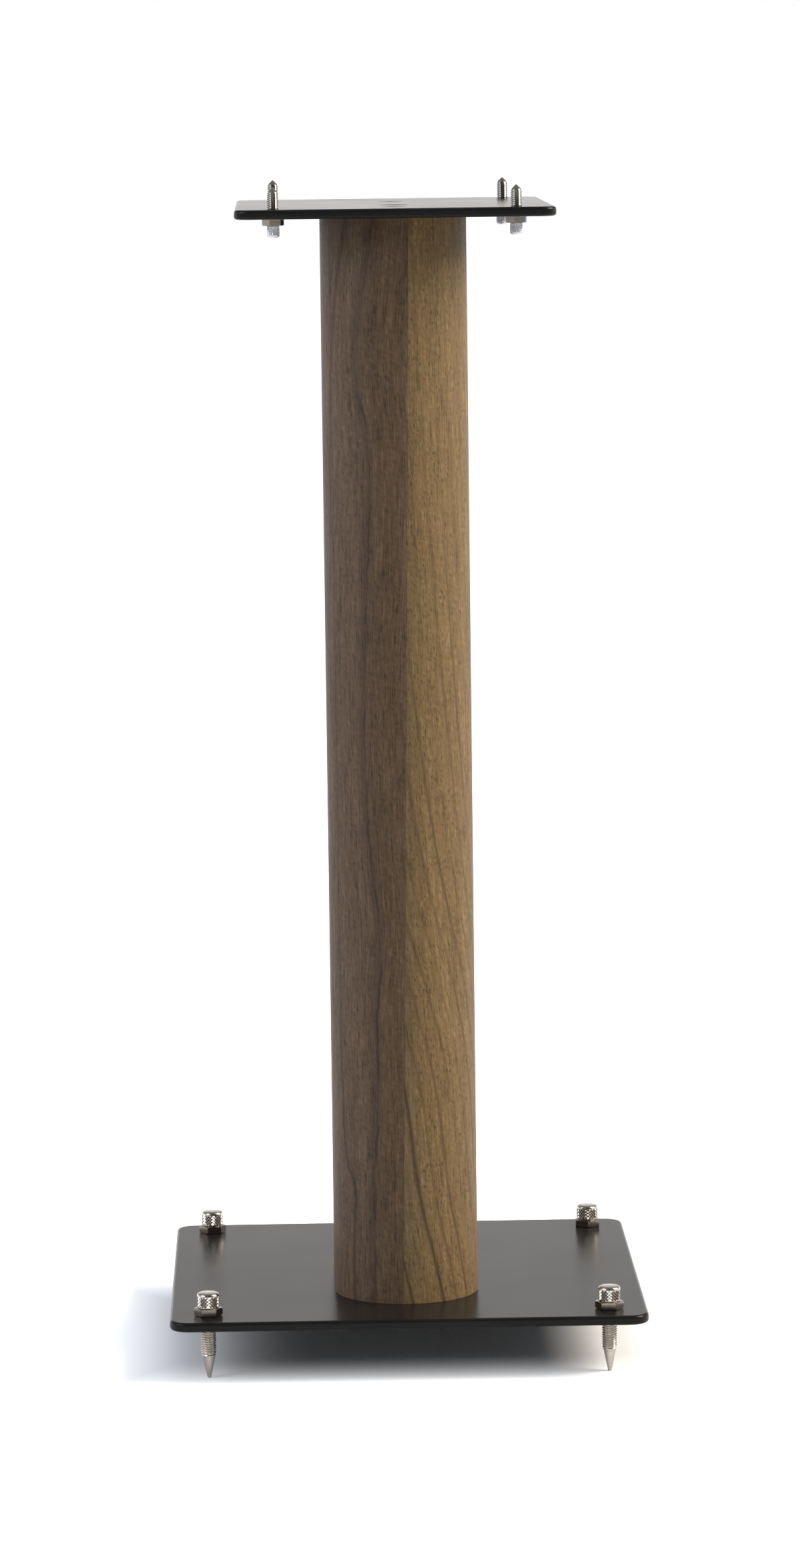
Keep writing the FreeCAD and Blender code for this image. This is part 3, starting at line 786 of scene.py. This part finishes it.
off_path = calculate(tree, "SUBTRACT", round_field, ring_path)
off_first = calculate(tree, "ADD", off_path, FIRST_RING)
turns = calculate(tree, "DIVIDE", off_first, RING_SPACING)
to_line = calculate(tree, "MULTIPLY", calculate(tree, "PINGPONG", turns, 0.5), RING_SPACING)
strength = use(tree, streaks, Across=off_path, Along=up_field, Width=7.0, Length=240.0, Seed=31.0)
strength = calculate(tree, "MULTIPLY", strength[0], fade(tree, up_field, 200.0, 420.0, 0.8, 0.35))
rings = use(tree, vein, Offset=to_line, Width=1.5, Strength=strength)[0]
first_line = use(tree, vein, Offset=off_first, Width=2.0, Strength=0.75)[0]
bend = calculate(tree, "MULTIPLY", ring_path, RIGHT_BEND)
off_seam = fade(tree, round_field, 0.0, 12.0)
finish_walnut(
    tree, shader,
    Flow=calculate(tree, "SUBTRACT", round_field, bend), Round=round_field, Height=up_field,
    Veins=calculate(tree, "MAXIMUM", rings, first_line), Pores=0.62, Contrast=0.85, Seed=7.0,
    Dark=mix_colours(tree, off_seam, linear(75, 60, 40), linear(81, 64, 40)),
    Middle=mix_colours(tree, off_seam, linear(104, 85, 58), linear(114, 92, 60)),
    Light=mix_colours(tree, off_seam, linear(127, 105, 73), linear(139, 114, 76)),
)
give(walnut_right, leaf_right)
print("right leaf:", len(tree.nodes), "nodes")

# %% [markdown]
# ## Black plates
# The real plates are steel with a powder coat: nearly black, satin, with a faint orange peel. Nearly
# all that one sees of them is reflection, so the colour stays very dark. The roughness changes a
# little from place to place, and a fine relief breaks the reflections up.

# %% Powder coat


def rest_place(tree):
    """A point's own place on its piece in millimetres: right, back, up and all three at once."""
    place = add(tree, "ShaderNodeTexCoord").outputs["Object"]
    scaled = add(tree, "ShaderNodeVectorMath", {0: place, "Scale": 1 / MM}, operation="SCALE")
    parts = add(tree, "ShaderNodeSeparateXYZ", {0: scaled.outputs[0]})
    return *parts.outputs, scaled.outputs[0]


def streaks_of(tree, across_field, along_field, width, length, detail, own_seed):
    """One use of the streaks group."""
    return use(tree, streaks, Across=across_field, Along=along_field, Width=width, Length=length,
               Detail=detail, Seed=own_seed)[0]


DEEP_BLACK, SOFT_BLACK = (0.006, 0.006, 0.006), (0.009, 0.009, 0.009)
PEEL_SCALE = 1.6

black_coat, tree, shader = new_material("black_coat", (0.02, 0.02, 0.021), IOR=1.25)
right_way, back_way, _, place = rest_place(tree)
cloud = streaks_of(tree, right_way, back_way, width=46.0, length=46.0, detail=2.0, own_seed=1.0)
peel = add(tree, "ShaderNodeTexNoise", {"Vector": place, "Scale": PEEL_SCALE, "Detail": 1.0})
tree.links.new(mix_colours(tree, cloud, DEEP_BLACK, SOFT_BLACK), shader.inputs["Base Color"])
tree.links.new(fade(tree, cloud, 0.0, 1.0, 0.245, 0.265), shader.inputs["Roughness"])
roughen(tree, shader, peel.outputs[0], strength=0.2, distance=0.03)
give(black_coat, nodes["base_plate"], nodes["top_plate"])
print("black coat on two plates")

# %% [markdown]
# ## Metal fittings
# Every fitting is turned, and the lathe leaves fine rings round it. An anisotropic shader could hint
# at them, but rings in the colour, the roughness and the relief show up close as well. One function
# makes them all: nickel in four shades, darker nuts, brass inserts and blackened screws. The flute
# heads' nickel is half matt and near white, partly a painted reflection of the bright surround.

# %% Metals
RING_LENGTH = 60.0
RING_SHARE, SMEAR_SHARE = 0.7, 0.3


def cad_pieces(word):
    """The CAD pieces with the word in their names."""
    return [nodes[name] for name in nodes if word in name]


def make_metal(name, dull, bright, roughness, ring_width, own_seed, metallic):
    """A turned metal with fine rings round its upright axis."""
    dull, bright = linear(*dull), linear(*bright)
    material, tree, shader = new_material(name, bright, Metallic=metallic)
    right_way, _, up_way, _ = rest_place(tree)
    turned = streaks_of(tree, up_way, right_way, ring_width, RING_LENGTH, 3.0, own_seed)
    smear = streaks_of(tree, right_way, up_way, 3.5, 5.0, 1.0, own_seed + 4)
    both = calculate(
        tree, "MULTIPLY_ADD", turned, RING_SHARE, calculate(tree, "MULTIPLY", smear, SMEAR_SHARE))
    tree.links.new(mix_colours(tree, both, dull, bright), shader.inputs["Base Color"])
    tree.links.new(fade(tree, both, 0.1, 0.9, roughness * 1.25, roughness * 0.8),
                   shader.inputs["Roughness"])
    roughen(tree, shader, turned, strength=0.3, distance=0.004)
    return material


# Name, dull and bright screen levels, roughness, ring width in millimetres, seed, metallic, pieces
METALS = (
    ("nickel_warm", (206, 199, 189), (230, 224, 214), 0.28, 0.5, 3.0, 1.0, spikes),
    ("nickel_knurl", (190, 185, 177), (220, 216, 208), 0.2, 0.5, 6.0, 1.0, knobs),
    ("nickel_cool", (178, 176, 172), (208, 206, 202), 0.16, 0.4, 9.0, 1.0, studs),
    # The flute heads' near-white, half-matt colour is partly painted reflection of the bright
    # surround
    ("nickel_flute", (232, 234, 244), (248, 249, 255), 0.28, 0.6, 12.0, 0.5, heads),
    ("nut_steel", (138, 129, 119), (168, 159, 149), 0.2, 0.7, 15.0, 1.0, cad_pieces("_nut_")),
    ("brass", (176, 142, 78), (210, 176, 104), 0.28, 0.5, 21.0, 1.0, cad_pieces("insert")),
    ("black_oxide", (26, 26, 28), (44, 44, 47), 0.42, 0.5, 27.0, 1.0, cad_pieces("screw")),
)
for *recipe, pieces in METALS:
    give(make_metal(*recipe), *pieces)
    print(recipe[0], "on", len(pieces), "pieces")

# %% [markdown]
# ## Wood inside the column
# The shells and the joint strips are plywood, whose plies run round the column. Straight stripes
# would cut across the bend. So a point's distance from the column's middle line picks its ply, and
# the layers follow the bend on every cut edge. The blocks that close the column are fibreboard with
# short fibres in it.

# %% Plywood and fibreboard
PLY = 1.35

plywood, tree, shader = new_material("plywood", linear(196, 168, 128), Roughness=0.62)
right_way, back_way, up_way, _ = rest_place(tree)
nose_y = add(tree, "ShaderNodeClamp", {
    0: back_way, 1: FRONT_NOSE_Y / MM, 2: REAR_NOSE_Y / MM}).outputs[0]
off_nose = calculate(tree, "SUBTRACT", back_way, nose_y)
squares = [calculate(tree, "MULTIPLY", way, way) for way in (right_way, off_nose)]
outwards = calculate(tree, "SQRT", calculate(tree, "ADD", *squares))
ply = fade(tree, calculate(tree, "PINGPONG", outwards, PLY), 0.5, 0.85)
round_way = calculate(tree, "ADD", right_way, back_way)
ply_grain = streaks_of(tree, round_way, up_way, width=0.8, length=45.0, detail=3.0, own_seed=41.0)
pale = mix_colours(tree, ply_grain, linear(178, 148, 108), linear(210, 182, 142))
deep = mix_colours(tree, ply_grain, linear(146, 114, 78), linear(172, 140, 100))
tree.links.new(mix_colours(tree, ply, deep, pale), shader.inputs["Base Color"])
roughen(tree, shader, ply_grain, strength=0.3, distance=0.05)
give(plywood, *cad_pieces("shell"), *cad_pieces("strip"))

fibreboard, tree, shader = new_material("fibreboard", linear(160, 132, 100), Roughness=0.8)
right_way, back_way, _, _ = rest_place(tree)
fibres = streaks_of(tree, right_way, back_way, width=0.7, length=1.6, detail=4.0, own_seed=51.0)
board = mix_colours(tree, fibres, linear(138, 110, 80), linear(172, 144, 110))
tree.links.new(board, shader.inputs["Base Color"])
roughen(tree, shader, fibres, strength=0.3, distance=0.05)
give(fibreboard, *cad_pieces("block"))
print("materials:", sorted(material.name for material in bpy.data.materials if material.users))

# %% [markdown]
# ## Floor
# A pale floor catches the stand's shadow and runs out to white, through a painted glow. A bigger lamp
# would whiten it too, but would also bleach the wood. So the camera and the reflections see the floor
# glow away from the stand, a painted light that fades the outer shadow out, and what it throws back
# as light is weaker.

# %% Floor
FLOOR_SIZE = 60.0
GLOW = 0.8
MIRRORED_GLOW = 0.5
SIDE_GLOW_FROM, SIDE_GLOW_TO = 115.0, 205.0
FRONT_GLOW_FROM, FRONT_GLOW_TO = 62.0, 185.0
LIT_FLOOR, MIRRORED_FLOOR = (0.27, 0.27, 0.27), (0.48, 0.48, 0.48)
COOL_PAPER, PLAIN_PAPER = (0.81, 0.81, 0.82), (0.84, 0.84, 0.84)

bm = bmesh.new()
bmesh.ops.create_grid(bm, x_segments=1, y_segments=1, size=FLOOR_SIZE)
floor_mesh = bpy.data.meshes.new("floor")
bm.to_mesh(floor_mesh)
bm.free()
floor = new_object("floor", floor_mesh)
floor_look, tree, shader = new_material(
    "floor_look", (0.9, 0.9, 0.9), Roughness=1.0, Specular_IOR_Level=0.0,
    Emission_Color=(1, 1, 1, 1))
right_way, back_way, _, _ = rest_place(tree)
patch = streaks_of(tree, right_way, back_way, width=300.0, length=300.0, detail=2.0, own_seed=61.0)
rays = add(tree, "ShaderNodeLightPath").outputs
seen, mirrored = rays["Is Camera Ray"], rays["Is Glossy Ray"]
paper = mix_colours(tree, patch, COOL_PAPER, PLAIN_PAPER)
unseen = mix_colours(tree, mirrored, LIT_FLOOR, MIRRORED_FLOOR)
tree.links.new(mix_colours(tree, seen, unseen, paper), shader.inputs["Base Color"])
# Painted light: beside and in front of the stand the floor glows, so its shadow fades out to white
beside = fade(tree, calculate(tree, "ABSOLUTE", right_way), SIDE_GLOW_FROM, SIDE_GLOW_TO, 0.0, GLOW)
before = fade(tree, calculate(tree, "ABSOLUTE", back_way), FRONT_GLOW_FROM, FRONT_GLOW_TO, 0.0, GLOW)
share = calculate(tree, "MAXIMUM", seen, calculate(tree, "MULTIPLY", mirrored, MIRRORED_GLOW))
painted_glow = calculate(tree, "MULTIPLY", calculate(tree, "MAXIMUM", beside, before), share)
tree.links.new(painted_glow, shader.inputs["Emission Strength"])
give(floor_look, floor)
print("floor:", 2 * FLOOR_SIZE, "m wide")

# %% [markdown]
# ## Surround
# The camera sees plain white. Black plates and bright metal need something to mirror, though: a
# bright backdrop low behind the stand and a dark room on the camera's side, as in a real studio. Matt
# surfaces get light from a soft, slightly blue dome that is dimmer near the floor.

# %% World
DARK_ROOM, SEEN_BY_CAMERA = 0.08, 1.0
HORIZON_COOL, BACKDROP_WARM = (0.98, 0.985, 1.0), (1.0, 0.96, 0.93)
DOME_BLUE, PLAIN_WHITE = (0.84, 0.9, 1.0), (1.0, 1.0, 1.0)

world = bpy.data.worlds.new("surround")
bpy.context.scene.world = world
world.use_nodes = True
tree = world.node_tree
tree.nodes.clear()
rays = add(tree, "ShaderNodeLightPath").outputs
way = add(tree, "ShaderNodeSeparateXYZ", {0: add(tree, "ShaderNodeTexCoord").outputs["Generated"]})
_, back_way, up_way = way.outputs
backdrop = calculate(tree, "MULTIPLY", fade(tree, up_way, 0.06, 0.29, 1.75, 0.46),
                     fade(tree, up_way, 0.3, 0.8, 1.0, 0.5))
mirrored = between(tree, fade(tree, back_way, -0.6, 0.25), DARK_ROOM, backdrop)
dome = fade(tree, up_way, 0.0, 0.55, 0.2, 0.66)
strength = between(tree, rays["Is Glossy Ray"], dome, mirrored)
strength = between(tree, rays["Is Camera Ray"], strength, SEEN_BY_CAMERA)
near_floor = mix_colours(tree, fade(tree, up_way, 0.04, 0.14), HORIZON_COOL, BACKDROP_WARM)
tint = mix_colours(tree, rays["Is Glossy Ray"], PLAIN_WHITE, near_floor)
tint = mix_colours(tree, rays["Is Diffuse Ray"], tint, DOME_BLUE)
background = add(tree, "ShaderNodeBackground", {"Color": tint, "Strength": strength})
add(tree, "ShaderNodeOutputWorld", {"Surface": background.outputs[0]})
print("surround:", len(tree.nodes), "nodes")

# %% [markdown]
# ## Lamps
# A large warm lamp on the right models the round nose and lights the golden leaf. A weaker cool one
# on the left keeps the dark leaf readable. Two faint ones in front and above soften the shadow, and
# no surface mirrors them.

# %% Lamps


def area_lamp(name, place, towards, size, power, colour, mirrored=True):
    """A soft rectangular lamp aimed at a point, in metres and watts."""
    light = bpy.data.lights.new(name, "AREA")
    light.shape = "RECTANGLE"
    light.size, light.size_y = size
    light.energy = power
    light.color = colour
    lamp = bpy.data.objects.new(name, light)
    lamp.location = place
    lamp.rotation_euler = (Vector(towards) - lamp.location).to_track_quat("-Z", "Y").to_euler()
    lamp.visible_glossy = mirrored
    bpy.context.scene.collection.objects.link(lamp)


MIDDLE = (0, 0, 0.3)
area_lamp("lamp_right", (2.6, -0.3, 2.4), MIDDLE, (1.8, 1.8), 180, (1.0, 0.92, 0.8))
area_lamp("lamp_left", (-2.3, -1.3, 1.8), MIDDLE, (1.9, 1.5), 41, (0.94, 0.97, 1.0))
area_lamp("lamp_front", (0.2, -3.4, 0.3), (0, 0, 0.4), (2.0, 0.5), 19, (1.0, 0.98, 0.95),
          mirrored=False)
area_lamp("lamp_above", (0.1, 0.2, 2.8), (0, 0, 0), (2.4, 2.0), 14, (1.0, 1.0, 1.0),
          mirrored=False)

# %% [markdown]
# ## Camera
# The camera stands three metres in front of the stand, just above its top plate, and looks a little
# down. From so far off, a long lens keeps the column's sides nearly parallel.

# %% Camera
CAMERA_PLACE = (-0.06064, -2.97445, 0.68187)
YAW, PITCH, ROLL = -0.0206, 0.12815, -0.0126
LENS, SENSOR = 128.42, 36

camera_data = bpy.data.cameras.new("camera")
camera = bpy.data.objects.new("camera", camera_data)
bpy.context.scene.collection.objects.link(camera)
camera_data.sensor_width = SENSOR
camera_data.sensor_fit = "AUTO"
camera_data.lens = LENS
camera.matrix_world = (
    Matrix.Translation(CAMERA_PLACE)
    @ Matrix.Rotation(YAW, 4, "Z")
    @ Matrix.Rotation(pi / 2 - PITCH, 4, "X")
    @ Matrix.Rotation(ROLL, 4, "Z")
)
bpy.context.scene.camera = camera
bpy.context.scene.view_settings.view_transform = "Standard"
print("camera at", tuple(round(number, 3) for number in camera.location))
